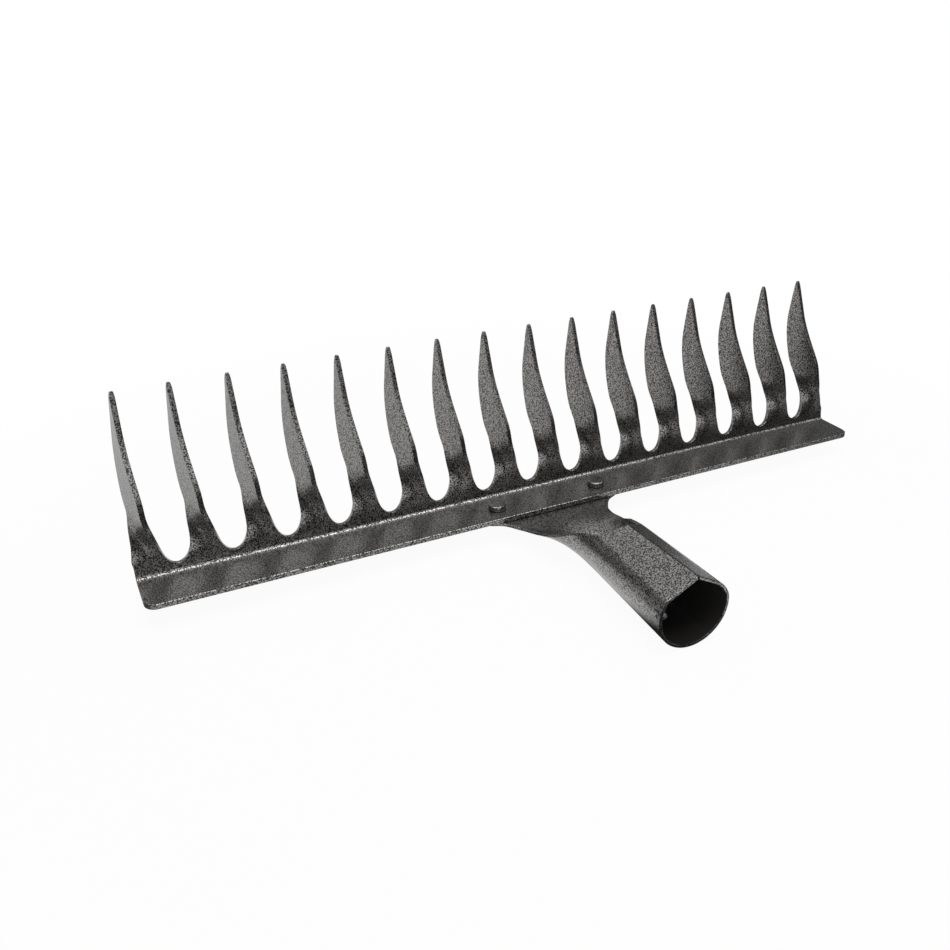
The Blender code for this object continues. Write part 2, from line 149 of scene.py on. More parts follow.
NOTCH_WIDTH = 0.0142
NOTCH_ROUND = 0.0124
TOOTH_LENGTH = 0.0790
BELLY_WIDTH = 0.0179
BELLY_HEIGHT = 0.0328
TAPER_POWER = 1.35
TIP_WIDTH = 0.0009
TIP_SHEET = 0.0011
TIP_ROUNDING = 0.0042
SWEEP = 0.0115
SWEEP_START = 0.0064
SWEEP_END = 0.0611
TWIST_BLADE = radians(75.2)
TWIST_START = 0.0004
TWIST_END = 0.0264
TWIST_EXTRA = radians(8.5)
TWIST_AXIS_SHIFT = -0.0008
NOTCH_ROWS = 14
BLADE_ROWS = 62
TIP_ROWS = 4
FIRST_TOOTH_BENT = 0.0018
SHARP_TURN = radians(40)

ENAMEL = (0.0085, 0.0082, 0.0079)
# The plain dark grey that stands for painted shade inside the socket's tube.
INSIDE_SHADE = (0.030, 0.028, 0.027)
COMB_LEAF = (0.325, 0.313, 0.305)
CELL_SIZE = 0.00062
CELL_DETAIL = 0.6
CELL_RAGGEDNESS = 0.5
CELL_DISTORTION = 0.4
CELL_EDGE = (0.475, 0.52)
PAINT_RELIEF = 0.00008
PAINT_ROUGHNESS = 0.30
PAINT_SPECULAR = 0.1
LEAF_RIM_TINT = (0.55, 0.55, 0.55)
COAT_RELIEF = 0.7 * PAINT_RELIEF
COAT_ROUGHNESS = 0.13


def ease(start, end, value):
    """Rises smoothly from 0 where the value is start to 1 where it is end."""
    t = min(max((value - start) / (end - start), 0.0), 1.0)
    return t * t * (3.0 - 2.0 * t)


def blank_half_width(height):
    """Half width of one tooth's share of the flat blank, by its height above the notch floor."""
    waist = (PITCH - NOTCH_WIDTH) / 2
    if height <= NOTCH_ROUND:
        return PITCH / 2 - NOTCH_WIDTH / 2 * sqrt(1.0 - (1.0 - height / NOTCH_ROUND) ** 2)
    if height <= BELLY_HEIGHT:
        return blend(waist, BELLY_WIDTH / 2, ease(NOTCH_ROUND, BELLY_HEIGHT, height))
    t = (height - BELLY_HEIGHT) / (TOOTH_LENGTH - BELLY_HEIGHT)
    return blend(BELLY_WIDTH / 2, TIP_WIDTH / 2, t ** TAPER_POWER)


def blank_heights():
    """Heights of the blank's rows, closest together round the notch and at the point."""
    notch = [NOTCH_ROUND * (1.0 - cos(pi / 2 * i / NOTCH_ROWS)) for i in range(NOTCH_ROWS)]
    span = TOOTH_LENGTH - TIP_ROUNDING - NOTCH_ROUND
    blade = [NOTCH_ROUND + span * i / BLADE_ROWS for i in range(BLADE_ROWS)]
    point = [TOOTH_LENGTH - TIP_ROUNDING * (1.0 - sin(pi / 2 * i / TIP_ROWS)) for i in range(TIP_ROWS + 1)]
    return notch + blade + point


def flat_blank(name, left_limit, right_limit):
    """One tooth, cut out flat. The bar's ends cut the two outermost roots off straight."""
    rows = []
    for height in blank_heights():
        half = blank_half_width(height)
        left = max(-half, -left_limit) if height < NOTCH_ROUND else -half
        right = min(half, right_limit) if height < NOTCH_ROUND else half
        across = [blend(left, right, i / CROSS_COLUMNS) for i in range(CROSS_COLUMNS + 1)]
        rows.append([Vector((x, 0.0, height)) for x in across])
    return sheet_mesh(name, [rows])


def add_node(tree, kind, inputs=None, **settings):
    """A node with its settings made and its inputs filled, from values or from other nodes' sockets."""
    made = tree.nodes.new(kind)
    for name, value in settings.items():
        setattr(made, name, value)
    for key, value in (inputs or {}).items():
        if isinstance(value, bpy.types.NodeSocket):
            tree.links.new(value, made.inputs[key])
        else:
            made.inputs[key].default_value = value
    return made


def reckon(tree, operation, first, second=0.0):
    """The result of one sum on two values, each a number or another node's socket."""
    return add_node(tree, "ShaderNodeMath", {0: first, 1: second}, operation=operation).outputs[0]


def ramp(tree, value, span, levels=(0.0, 1.0), kind="SMOOTHSTEP"):
    """Goes from the first level to the second while the value crosses the span."""
    inputs = {"Value": value, "From Min": span[0], "From Max": span[1],
              "To Min": levels[0], "To Max": levels[1]}
    return add_node(tree, "ShaderNodeMapRange", inputs, interpolation_type=kind).outputs["Result"]


def new_tree(name, sockets):
    """A Geometry Nodes tree with named inputs, and its input and output nodes."""
    tree = bpy.data.node_groups.new(name, "GeometryNodeTree")
    tree.interface.new_socket("Geometry", in_out="INPUT", socket_type="NodeSocketGeometry")
    tree.interface.new_socket("Geometry", in_out="OUTPUT", socket_type="NodeSocketGeometry")
    for socket_name, socket_type in sockets:
        tree.interface.new_socket(socket_name, in_out="INPUT", socket_type="NodeSocket" + socket_type)
    return tree, tree.nodes.new("NodeGroupInput"), tree.nodes.new("NodeGroupOutput")


def run_tree(item, tree, values):
    """Runs a tree on an object, and keeps what it gives as the object's plain mesh."""
    modifier = item.modifiers.new(tree.name, "NODES")
    modifier.node_group = tree
    for socket in tree.interface.items_tree:
        if socket.in_out == "INPUT" and socket.name in values:
            modifier[socket.identifier] = values[socket.name]
    graph = bpy.context.evaluated_depsgraph_get()
    made = bpy.data.meshes.new_from_object(item.evaluated_get(graph))
    item.modifiers.remove(modifier)
    item.data = made
    return item


def twisting_die():
    """Turns a flat blank into a twisted, swept and leaning tooth, measured from the fold's corner."""
    sizes = ("Twist", "Twist start", "Twist end", "Further twist", "Length", "Axis shift",
             "Sweep", "Sweep start", "Sweep end", "Lean", "Root height", "Half sheet")
    tree, given, result = new_tree("twisting_die", [(name, "Float") for name in sizes])
    position = add_node(tree, "GeometryNodeInputPosition").outputs[0]
    place = add_node(tree, "ShaderNodeSeparateXYZ", {0: position})
    height = place.outputs["Z"]

    def by_height(start, end, amount, kind):
        """What the die has done at a height, from nothing at start to the whole amount at end."""
        span = (given.outputs[start], given.outputs[end])
        return ramp(tree, height, span, (0.0, given.outputs[amount]), kind)

    swing = by_height("Sweep start", "Sweep end", "Sweep", "SMOOTHSTEP")
    swept = reckon(tree, "SUBTRACT", place.outputs["X"], swing)
    sideways = reckon(tree, "SUBTRACT", swept, given.outputs["Axis shift"])
    main_turn = by_height("Twist start", "Twist end", "Twist", "SMOOTHSTEP")
    slow_turn = by_height("Twist end", "Length", "Further twist", "LINEAR")
    turn = reckon(tree, "SUBTRACT", 0.0, reckon(tree, "ADD", main_turn, slow_turn))
    flat_place = add_node(tree, "ShaderNodeCombineXYZ", {"X": sideways}).outputs[0]
    twisting = {"Vector": flat_place, "Angle": turn}
    twisted = add_node(tree, "ShaderNodeVectorRotate", twisting, rotation_type="Z_AXIS").outputs[0]
    raised = reckon(tree, "ADD", height, given.outputs["Root height"])
    offset = {"X": given.outputs["Axis shift"], "Y": given.outputs["Half sheet"], "Z": raised}
    shift = add_node(tree, "ShaderNodeCombineXYZ", offset).outputs[0]
    upright = add_node(tree, "ShaderNodeVectorMath", {0: twisted, 1: shift}, operation="ADD").outputs[0]
    leaning = {"Vector": upright, "Angle": reckon(tree, "SUBTRACT", 0.0, given.outputs["Lean"])}
    final = add_node(tree, "ShaderNodeVectorRotate", leaning, rotation_type="X_AXIS").outputs[0]
    pressing = {"Geometry": given.outputs["Geometry"], "Position": final}
    pressed = add_node(tree, "GeometryNodeSetPosition", pressing)
    tree.links.new(pressed.outputs[0], result.inputs[0])
    return tree


def row_of_teeth():
    """Sets the teeth along the bar, the outermost two at its ends, and welds them all to it."""
    sockets = [("First tooth", "Object"), ("Inner tooth", "Object"), ("Last tooth", "Object"),
               ("Count", "Int"), ("Pitch", "Float"), ("First place", "Vector"),
               ("Weld distance", "Float"), ("Paint", "Material")]
    tree, given, result = new_tree("row_of_teeth", sockets)
    step = add_node(tree, "ShaderNodeCombineXYZ", {"X": given.outputs["Pitch"]}).outputs[0]
    spread = {"Count": given.outputs["Count"], "Start Location": given.outputs["First place"],
              "Offset": step}
    line = add_node(tree, "GeometryNodeMeshLine", spread, mode="OFFSET").outputs[0]
    number = add_node(tree, "GeometryNodeInputIndex").outputs[0]
    last_but_half = reckon(tree, "SUBTRACT", given.outputs["Count"], 1.5)
    is_first = reckon(tree, "LESS_THAN", number, 0.5)
    is_last = reckon(tree, "GREATER_THAN", number, last_but_half)
    is_inner = reckon(tree, "SUBTRACT", 1.0, reckon(tree, "ADD", is_first, is_last))
    everything = add_node(tree, "GeometryNodeJoinGeometry")
    tree.links.new(given.outputs["Geometry"], everything.inputs[0])
    for name, chosen in (("First tooth", is_first), ("Inner tooth", is_inner), ("Last tooth", is_last)):
        tooth = add_node(tree, "GeometryNodeObjectInfo", {"Object": given.outputs[name]}).outputs["Geometry"]
        placed = {"Points": line, "Selection": chosen, "Instance": tooth}
        instances = add_node(tree, "GeometryNodeInstanceOnPoints", placed).outputs[0]
        tree.links.new(instances, everything.inputs[0])
    real = add_node(tree, "GeometryNodeRealizeInstances", {0: everything.outputs[0]}).outputs[0]
    welding = {"Geometry": real, "Distance": given.outputs["Weld distance"]}
    welded = add_node(tree, "GeometryNodeMergeByDistance", welding).outputs[0]
    smooth = add_node(tree, "GeometryNodeSetShadeSmooth", {"Geometry": welded}).outputs[0]
    painting = {"Geometry": smooth, "Material": given.outputs["Paint"]}
    painted = add_node(tree, "GeometryNodeSetMaterial", painting)
    tree.links.new(painted.outputs[0], result.inputs[0])
    return tree


def hammer_paint(name, leaf, shade_free=None):
    """Leafing aluminium draws together into small worm-like cells in near-black enamel, under a clear coat.

    Where the attribute that the last argument names is 0, the leaf is left out and the ground is a plain dark
    grey: painted shade."""
    material = bpy.data.materials.new(name)
    material.use_nodes = True
    tree = material.node_tree
    shader = tree.nodes["Principled BSDF"]
    place = add_node(tree, "ShaderNodeTexCoord").outputs["Object"]
    worm = {"Vector": place, "Scale": 1.0 / CELL_SIZE, "Detail": CELL_DETAIL, "Roughness": CELL_RAGGEDNESS,
            "Distortion": CELL_DISTORTION}
    height = add_node(tree, "ShaderNodeTexNoise", worm).outputs["Fac"]
    leafed = ramp(tree, height, CELL_EDGE)
    colour = add_node(tree, "ShaderNodeMix", data_type="RGBA")
    colour.inputs["A"].default_value = (*ENAMEL, 1.0)
    colour.inputs["B"].default_value = (*leaf, 1.0)
    if shade_free:
        unshaded_mask = add_node(tree, "ShaderNodeAttribute", attribute_name=shade_free).outputs["Fac"]
        leafed = reckon(tree, "MULTIPLY", leafed, unshaded_mask)
        height = reckon(tree, "MULTIPLY", height, unshaded_mask)
        ground = add_node(tree, "ShaderNodeMix", {"Factor": unshaded_mask}, data_type="RGBA")
        ground.inputs["A"].default_value = (*INSIDE_SHADE, 1.0)
        ground.inputs["B"].default_value = (*ENAMEL, 1.0)
        tree.links.new(ground.outputs["Result"], colour.inputs["A"])
    tree.links.new(leafed, colour.inputs["Factor"])
    tree.links.new(colour.outputs["Result"], shader.inputs["Base Color"])
    tree.links.new(leafed, shader.inputs["Metallic"])
    for normal, relief in (("Normal", PAINT_RELIEF), ("Coat Normal", COAT_RELIEF)):
        bump = {"Height": height, "Strength": 1.0, "Distance": relief}
        dimples = add_node(tree, "ShaderNodeBump", bump).outputs["Normal"]
        tree.links.new(dimples, shader.inputs[normal])
    shader.inputs["Roughness"].default_value = PAINT_ROUGHNESS
    shader.inputs["Specular IOR Level"].default_value = PAINT_SPECULAR
    shader.inputs["Specular Tint"].default_value = (*LEAF_RIM_TINT, 1.0)
    shader.inputs["Coat Weight"].default_value = 1.0
    shader.inputs["Coat Roughness"].default_value = COAT_ROUGHNESS
    return material


comb_paint = hammer_paint("comb_hammer_paint", COMB_LEAF)

die = twisting_die()
die_sizes = {
    "Twist": TWIST_BLADE, "Twist start": TWIST_START, "Twist end": TWIST_END, "Further twist": TWIST_EXTRA,
    "Length": TOOTH_LENGTH, "Axis shift": TWIST_AXIS_SHIFT, "Lean": TEETH_LEAN, "Root height": NOTCH_FLOOR,
    "Sweep": SWEEP, "Sweep start": SWEEP_START, "Sweep end": SWEEP_END, "Half sheet": COMB_SHEET / 2}
first_tooth = run_tree(flat_blank("first_tooth", LEFT_MARGIN, PITCH / 2), die, die_sizes)
inner_tooth = run_tree(flat_blank("inner_tooth", PITCH / 2, PITCH / 2), die, die_sizes)
last_tooth = run_tree(flat_blank("last_tooth", PITCH / 2, RIGHT_MARGIN), die, die_sizes)

comb = run_tree(bar, row_of_teeth(), {
    "First tooth": first_tooth, "Inner tooth": inner_tooth, "Last tooth": last_tooth,
    "Count": TOOTH_COUNT, "Pitch": PITCH, "First place": FIRST_TOOTH_PLACE,
    "Weld distance": WELD_DISTANCE, "Paint": comb_paint})
comb.name = "comb_pressing"
for spare in (first_tooth, inner_tooth, last_tooth):
    bpy.data.objects.remove(spare)

# The points are drawn thin by the cutting die, where weight 1 keeps the whole sheet. The bar's left end
# is cut a little short, and the tooth beside it is knocked a little to the right.
kept = comb.vertex_groups.new(name="sheet_kept")
for vertex in comb.data.vertices:
    up = vertex.co.y * sin(TEETH_LEAN) + vertex.co.z * cos(TEETH_LEAN) - NOTCH_FLOOR
    toward_end = min(max((FIRST_TOOTH_PLACE.x - vertex.co.x) / LEFT_MARGIN, 0.0), 1.0)
    vertex.co.x += LEFT_END_SHORT * toward_end * ease(LEFT_END_SLOPE, 0.0, up)
    if vertex.co.x < FIRST_TOOTH_PLACE.x + PITCH / 2:
        vertex.co.x += FIRST_TOOTH_BENT * max(up, 0.0) / TOOTH_LENGTH
    into = min(max((up - TOOTH_LENGTH + TIP_ROUNDING) / TIP_ROUNDING, 0.0), 1.0)
    kept.add([vertex.index], sqrt(1.0 - into ** 2), "REPLACE")
comb.data.transform(Matrix.Translation(FOLD_CORNER))


def thicken(item, thickness, offset):
    """Gives a sheet its thickness, evenly on both sides (offset 0) or all on its inside (offset -1)."""
    solidify = item.modifiers.new("sheet", "SOLIDIFY")
    solidify.thickness = thickness
    solidify.offset = offset
    solidify.use_even_offset = True
    return solidify


def round_corners(item, radius, is_corner):
    """Rounds the upright edges at a flat sheet's corners."""
    shape = bmesh.new()
    shape.from_mesh(item.data)
    upright = [edge for edge in shape.edges if all(is_corner(vertex.co) for vertex in edge.verts)]
    bmesh.ops.bevel(shape, geom=upright, offset=radius, offset_type="OFFSET", segments=CORNER_STEPS,
                    profile=ROUND_PROFILE, affect="EDGES", clamp_overlap=False, material=-1)
    shape.to_mesh(item.data)
    shape.free()


def round_edges(item, width, segments, width_at):
    """Rounds the sharp edges, each by the width that width_at gives for the points at its ends."""
    shape = bmesh.new()
    shape.from_mesh(item.data)
    weight = shape.edges.layers.float.new("bevel_weight_edge")
    for edge in shape.edges:
        if edge.calc_face_angle(0.0) > SHARP_TURN:
            edge[weight] = min(width_at(vertex.co) for vertex in edge.verts) / width
    shape.to_mesh(item.data)
    shape.free()
    bevel = item.modifiers.new("paint_rounding", "BEVEL")
    bevel.width = width
    bevel.segments = segments
    bevel.limit_method = "WEIGHT"
    bevel.use_clamp_overlap = False


def flatten_shading(item):
    """Keeps wide faces flat to their edge, so that only bends and rounded edges shade as curved."""
    weighted = item.modifiers.new("shading", "WEIGHTED_NORMAL")
    weighted.weight = WIDE_FACE_WEIGHT
    weighted.keep_sharp = True


def keep_result(item):
    """Keeps what the modifiers give as a plain mesh."""
    graph = bpy.context.evaluated_depsgraph_get()
    made = bpy.data.meshes.new_from_object(item.evaluated_get(graph))
    item.modifiers.clear()
    item.data = made


def is_shelf_corner(point):
    """Whether a point lies on one of the two upright edges at the shelf's front."""
    sideways = point.x - FOLD_CORNER.x
    from_end = min(sideways + BAR_LENGTH / 2 - LEFT_END_SHORT, BAR_LENGTH / 2 - sideways)
    return point.y - FOLD_CORNER.y + SHELF_DEPTH < WELD_DISTANCE and from_end < WELD_DISTANCE


def comb_rounding(point):
    """The upper edge of the shelf's front, with its two corners, is rounded wider than the rest."""
    if point.z < FOLD_CORNER.z - COMB_SHEET / 2:
        return EDGE_ROUNDING
    from_front = point.y - FOLD_CORNER.y + SHELF_DEPTH
    return blend(RIM_ROUNDING, EDGE_ROUNDING, ease(SHELF_CORNER_RADIUS, RIM_ROUNDING_END, from_front))


sheet = thicken(comb, COMB_SHEET, 0.0)
sheet.vertex_group = kept.name
sheet.thickness_vertex_group = TIP_SHEET / COMB_SHEET
keep_result(comb)
round_corners(comb, SHELF_CORNER_RADIUS, is_shelf_corner)
round_edges(comb, RIM_ROUNDING, RIM_STEPS, comb_rounding)
flatten_shading(comb)
keep_result(comb)
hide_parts("comb")
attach(comb, "root")


# The handle socket
# One piece of 1.5 mm sheet: a plate under the shelf, a dished neck, and a tube rolled round a tapered
# mandrel until its two edges meet on top. Near the mouth a nub is pressed in to bite the wooden handle.

SOCKET_SHEET = 0.0015
SOCKET_SHIFT = 0.0024
SHEET_GAP = 0.0003
PLATE_WIDTH = 0.080
PLATE_CORNER_RADIUS = 0.006
PLATE_BACK = 0.0025
PLATE_FRONT = 0.0160
NECK_WIDTH = 0.0446
NECK_FROM_FOLD = 0.0437
DISH_START = 0.0300
DISH_SHARE = 0.84
TUBE_START = 0.0785
TUBE_LENGTH = 0.0573
TUBE_BACK_RADIUS = 0.0151
TUBE_MOUTH_RADIUS = 0.0177
TUBE_BACK_DROP = 0.0096
TUBE_MOUTH_DROP = 0.0123
ARC_BACK = radians(128.0)
ARC_MOUTH = radians(121.0)
SEAM_DROP_BACK = 0.0001
SEAM_DROP_MOUTH = 0.0005
FLAP_SLANT = 0.0059
SEAM_GAP = 0.00028
RIGHT_FLAP_BEND = 0.0062
SOCKET_ROUNDING = 0.00030
SOCKET_STEPS = 2
SOCKET_LEAF = (0.34, 0.328, 0.32)
MOUTH_SPARE = 0.0005
# Each pair is a share of the way along, and of the width still to lose or already gained there.
NECK_CURVE = ((0.14, 0.87), (0.27, 0.50), (0.44, 0.28), (0.68, 0.08))
SKIRT_CURVE = ((0.30, 0.08), (0.70, 0.62))
PLATE_CORNER_ROWS = 8
NECK_ROWS = 22
SKIRT_ROWS = 28
TUBE_ROWS = 24
SOCKET_COLUMNS = 60
FLAP_COLUMNS = 8
ROW_CROWDING = 1.3
COLUMN_CROWDING = 1.25

NUB_FROM_MOUTH = 0.0020
NUB_TURN = radians(95.0)
NUB_RADIUS = 0.0018
NUB_STANDS_IN = 0.0014
# The nub inside the tube is painted less shaded: this share of the full paint, within this reach of it.
NUB_UNSHADED = 0.4
NUB_UNSHADED_REACH = 0.00216
DENT_RADIUS = 0.0020
DENT_DEPTH = 0.0003
BALL_SEGMENTS = 32
BALL_RINGS = 16
# Over this span into the tube, faces turned toward its axis fade into painted shade.
INSIDE_SHADE_FADE = (TUBE_START - 0.004, TUBE_START + 0.010)
FACING_AXIS = (0.1, 0.6)

PLATE_UNDERSIDE = -COMB_SHEET - SHEET_GAP - SOCKET_SHEET
MOUTH = TUBE_START + TUBE_LENGTH
DISH_END = TUBE_START - (1.0 - DISH_SHARE) * (TUBE_START - DISH_START)


def through_points(points, at):
    """Smooth curve through (distance, value) points, without overshoot."""
    slopes = [(vb - va) / (b - a) for (a, va), (b, vb) in zip(points, points[1:])]
    tangents = [slopes[0]]
    for before, after in zip(slopes, slopes[1:]):
        tangents.append(0.0 if before * after <= 0 else 2 * before * after / (before + after))
    tangents.append(slopes[-1])
    last = len(points) - 2
    i = next((k for k in range(last) if at <= points[k + 1][0]), last)
    (a, va), (b, vb) = points[i], points[i + 1]
    t = (at - a) / (b - a)
    rise = (b - a) * (t * (1 - t) ** 2 * tangents[i] - t * t * (1 - t) * tangents[i + 1])
    return blend(va, vb, t * t * (3 - 2 * t)) + rise


def sheet_half_width(forward):
    """Half the flat width of the sheet, from the plate through the neck to the start of the tube."""
    edge = PLATE_WIDTH / 2
    waist = NECK_WIDTH / 2
    tube = TUBE_BACK_RADIUS * ARC_BACK
    corner_end = PLATE_BACK + PLATE_CORNER_RADIUS
    if forward < corner_end:
        inset = corner_end - forward
        return edge - PLATE_CORNER_RADIUS + sqrt(max(PLATE_CORNER_RADIUS ** 2 - inset ** 2, 0.0))
    outline = [(corner_end, edge), (PLATE_FRONT, edge)]
    for way, left_over in NECK_CURVE:
        outline.append((blend(PLATE_FRONT, NECK_FROM_FOLD, way), blend(waist, edge, left_over)))
    outline.append((NECK_FROM_FOLD, waist))
    for way, done in SKIRT_CURVE:
        outline.append((blend(NECK_FROM_FOLD, TUBE_START, way), blend(waist, tube, done)))
    outline.append((TUBE_START, tube))
    return through_points(outline, forward)


def tube_share(forward):
    """How far along the tube a place is, from 0 at its back to 1 at its mouth."""
    return (forward - TUBE_START) / TUBE_LENGTH


def underside(forward):
    """Height of the sheet's underside on the socket's middle line, from the shelf's top."""
    if forward > DISH_END:
        return -blend(TUBE_BACK_DROP, TUBE_MOUTH_DROP, (forward - DISH_END) / (MOUTH - DISH_END))
    return blend(PLATE_UNDERSIDE, -TUBE_BACK_DROP, ease(DISH_START, DISH_END, forward))


def curvature(forward):
    """One over the outside radius: nothing on the plate, growing through the neck."""
    if forward > TUBE_START:
        return 1.0 / blend(TUBE_BACK_RADIUS, TUBE_MOUTH_RADIUS, tube_share(forward))
    return ease(DISH_START, DISH_END, forward) / TUBE_BACK_RADIUS


def arc_point(forward, along):
    """A point of the outside face, by its distance round the sheet from the middle line."""
    bend = curvature(forward)
    if bend == 0.0:
        return Vector((SOCKET_SHIFT + along, -forward, underside(forward)))
    turn = bend * along
    x = SOCKET_SHIFT + sin(turn) / bend
    z = underside(forward) + (1.0 - cos(turn)) / bend
    return Vector((x, -forward, z))


def arc_half_width(forward):
    """Half the outside width of the sheet without its flaps, measured round it."""
    if forward <= TUBE_START:
        return sheet_half_width(forward)
    return blend(ARC_BACK, ARC_MOUTH, tube_share(forward)) / curvature(forward)


def flap_line(forward, side):
    """The corner where a flap leaves the round part, and the point where it meets the other flap."""
    corner = arc_point(forward, side * arc_half_width(forward))
    round_top = underside(forward) + 2.0 / curvature(forward)
    seam = round_top - blend(SEAM_DROP_BACK, SEAM_DROP_MOUTH, tube_share(forward))
    return corner, Vector((SOCKET_SHIFT, -forward, seam))


def soft_corner(forward, beyond):
    """A point of the right flap's bend, which grows rounder toward the mouth, or None outside the bend."""
    reach = RIGHT_FLAP_BEND * tube_share(forward)
    if abs(beyond) >= reach:
        return None
    corner, seam = flap_line(forward, 1)
    start = arc_point(forward, arc_half_width(forward) - reach)
    end = corner + (seam - corner).normalized() * reach
    t = (beyond / reach + 1.0) / 2
    return start * (1.0 - t) ** 2 + corner * 2 * t * (1.0 - t) + end * t * t


def flap_point(forward, side, share):
    """A point of a flat flap, from the round part (0) to the line where both flaps meet (1)."""
    corner, seam = flap_line(forward, side)
    rounded = soft_corner(forward, share * (seam - corner).length) if side > 0 else None
    return rounded or corner.lerp(seam, share)


def tube_stations():
    """Places along the tube, closer together at its back end."""
    reach = TUBE_LENGTH + MOUTH_SPARE
    return [TUBE_START + reach * (i / TUBE_ROWS) ** ROW_CROWDING for i in range(TUBE_ROWS + 1)]


def neck_stations():
    """Places from the plate's back edge to the tube, closer together round corners and turns."""
    corner = [PLATE_BACK + PLATE_CORNER_RADIUS * (1.0 - cos(pi / 2 * i / PLATE_CORNER_ROWS))
              for i in range(PLATE_CORNER_ROWS + 1)]
    turn_in = [blend(PLATE_FRONT, NECK_FROM_FOLD, (i / NECK_ROWS) ** ROW_CROWDING) for i in range(NECK_ROWS)]
    skirt = [blend(NECK_FROM_FOLD, TUBE_START, i / SKIRT_ROWS) for i in range(SKIRT_ROWS)]
    return corner + turn_in + skirt


def flap_rows(side):
    """One flap. Its back edge slants toward the mouth as it nears the seam."""
    rows = []
    for forward in tube_stations():
        row = []
        for i in range(FLAP_COLUMNS + 1):
            share = (i / FLAP_COLUMNS) ** COLUMN_CROWDING
            slant = FLAP_SLANT * share * max(1.0 - tube_share(forward), 0.0)
            row.append(flap_point(forward + slant, side, share))
        rows.append(row if side > 0 else row[::-1])
    return rows


def body_rows():
    """The plate, the neck and the tube's round part, in rows across the sheet."""
    rows = []
    for forward in neck_stations() + tube_stations():
        reach = arc_half_width(forward)
        ways = [reach * (2 * i / SOCKET_COLUMNS - 1) for i in range(SOCKET_COLUMNS + 1)]
        rows.append([soft_corner(forward, way - reach) or arc_point(forward, way) for way in ways])
    return rows


def join_or_cut(name, mesh, place, item, operation):
    """Joins a solid built in bmesh to an object or takes it away, where a matrix places it."""
    data = bpy.data.meshes.new(name)
    mesh.transform(place)
    mesh.to_mesh(data)
    mesh.free()
    tool = bpy.data.objects.new(name, data)
    bpy.context.scene.collection.objects.link(tool)
    boolean = item.modifiers.new(name, "BOOLEAN")
    boolean.operation = operation
    boolean.solver = "EXACT"
    boolean.object = tool
    return tool


def box_mesh(low, high):
    """A box between two corners."""
    mesh = bmesh.new()
    bmesh.ops.create_cube(mesh, size=1.0)
    size = Vector(high) - Vector(low)
    mesh.transform(Matrix.Translation((Vector(low) + Vector(high)) / 2) @ Matrix.Diagonal((*size, 1.0)))
    return mesh


# Its inside is darkened with painted shade by the mask that this attribute holds.
socket_paint = hammer_paint("socket_hammer_paint", SOCKET_LEAF, shade_free="unshaded")

to_fold = Matrix.Translation(FOLD_CORNER)
socket = sheet_mesh("socket_pressing", [body_rows(), flap_rows(-1), flap_rows(1)])
socket.data.materials.append(socket_paint)
socket.data.shade_smooth()
socket.data.transform(to_fold)
thicken(socket, SOCKET_SHEET, -1.0)

middle = TUBE_BACK_RADIUS - TUBE_BACK_DROP
beyond = MOUTH + 2 * TUBE_MOUTH_RADIUS
seam_low = (SOCKET_SHIFT - SEAM_GAP / 2, -beyond, middle)
seam_high = (SOCKET_SHIFT + SEAM_GAP / 2, -TUBE_START, middle + 2 * TUBE_MOUTH_RADIUS)
mouth_low = (SOCKET_SHIFT - 2 * TUBE_MOUTH_RADIUS, -beyond, middle - 2 * TUBE_MOUTH_RADIUS)
mouth_high = (SOCKET_SHIFT + 2 * TUBE_MOUTH_RADIUS, -MOUTH, middle + 2 * TUBE_MOUTH_RADIUS)
tools = [join_or_cut("seam_cut", box_mesh(seam_low, seam_high), to_fold, socket, "DIFFERENCE"),
         join_or_cut("mouth_cut", box_mesh(mouth_low, mouth_high), to_fold, socket, "DIFFERENCE")]
keep_result(socket)


def socket_rounding(point):
    """The plate's back edge, hidden under the shelf, stays as it was cut."""
    hidden = FOLD_CORNER.y - point.y < PLATE_BACK + PLATE_CORNER_RADIUS
    return 0.0 if hidden else SOCKET_ROUNDING


round_edges(socket, SOCKET_ROUNDING, SOCKET_STEPS, socket_rounding)

nub_forward = MOUTH - NUB_FROM_MOUTH
nub_outside = arc_point(nub_forward, -NUB_TURN / curvature(nub_forward))
nub_inward = Vector((sin(NUB_TURN), 0.0, cos(NUB_TURN)))
ball = bmesh.new()
bmesh.ops.create_uvsphere(ball, u_segments=BALL_SEGMENTS, v_segments=BALL_RINGS, radius=NUB_RADIUS)
nub_place = nub_outside + nub_inward * (SOCKET_SHEET + NUB_STANDS_IN)
tools.append(join_or_cut("nub", ball, to_fold @ Matrix.Translation(nub_place), socket, "UNION"))
dent = bmesh.new()
bmesh.ops.create_uvsphere(dent, u_segments=BALL_SEGMENTS, v_segments=BALL_RINGS, radius=DENT_RADIUS)
dent_place = nub_outside - nub_inward * (DENT_RADIUS - DENT_DEPTH)
tools.append(join_or_cut("nub_dent", dent, to_fold @ Matrix.Translation(dent_place), socket, "DIFFERENCE"))
flatten_shading(socket)
keep_result(socket)
for tool in tools:
    bpy.data.objects.remove(tool)

# The tube's inside is painted darker, without leaf, as painted shade in its hollow, and the nub beside the
# mouth only partly.
unshaded_mask = socket.data.attributes.new("unshaded", "FLOAT", "POINT")
for vertex, shade_free in zip(socket.data.vertices, unshaded_mask.data):
    point = vertex.co - FOLD_CORNER
    along = -point.y
    depth = ease(*INSIDE_SHADE_FADE, along)
    if depth > 0.0:
        axis = Vector((SOCKET_SHIFT, point.y, underside(along) + 1.0 / curvature(along)))
        facing_in = ease(*FACING_AXIS, vertex.normal.dot((axis - point).normalized()))
        on_nub = (point - nub_place).length < NUB_UNSHADED_REACH
        shade_free.value = NUB_UNSHADED if on_nub else 1.0 - facing_in * depth
    else:
        shade_free.value = 1.0
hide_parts("socket")
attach(socket, "root")


# The rivets
# Two soft steel rivets hold the socket's plate to the shelf. Their low pan heads lie on the shelf and
# their tails are set flat under the plate, and both were painted with the rest after assembly.

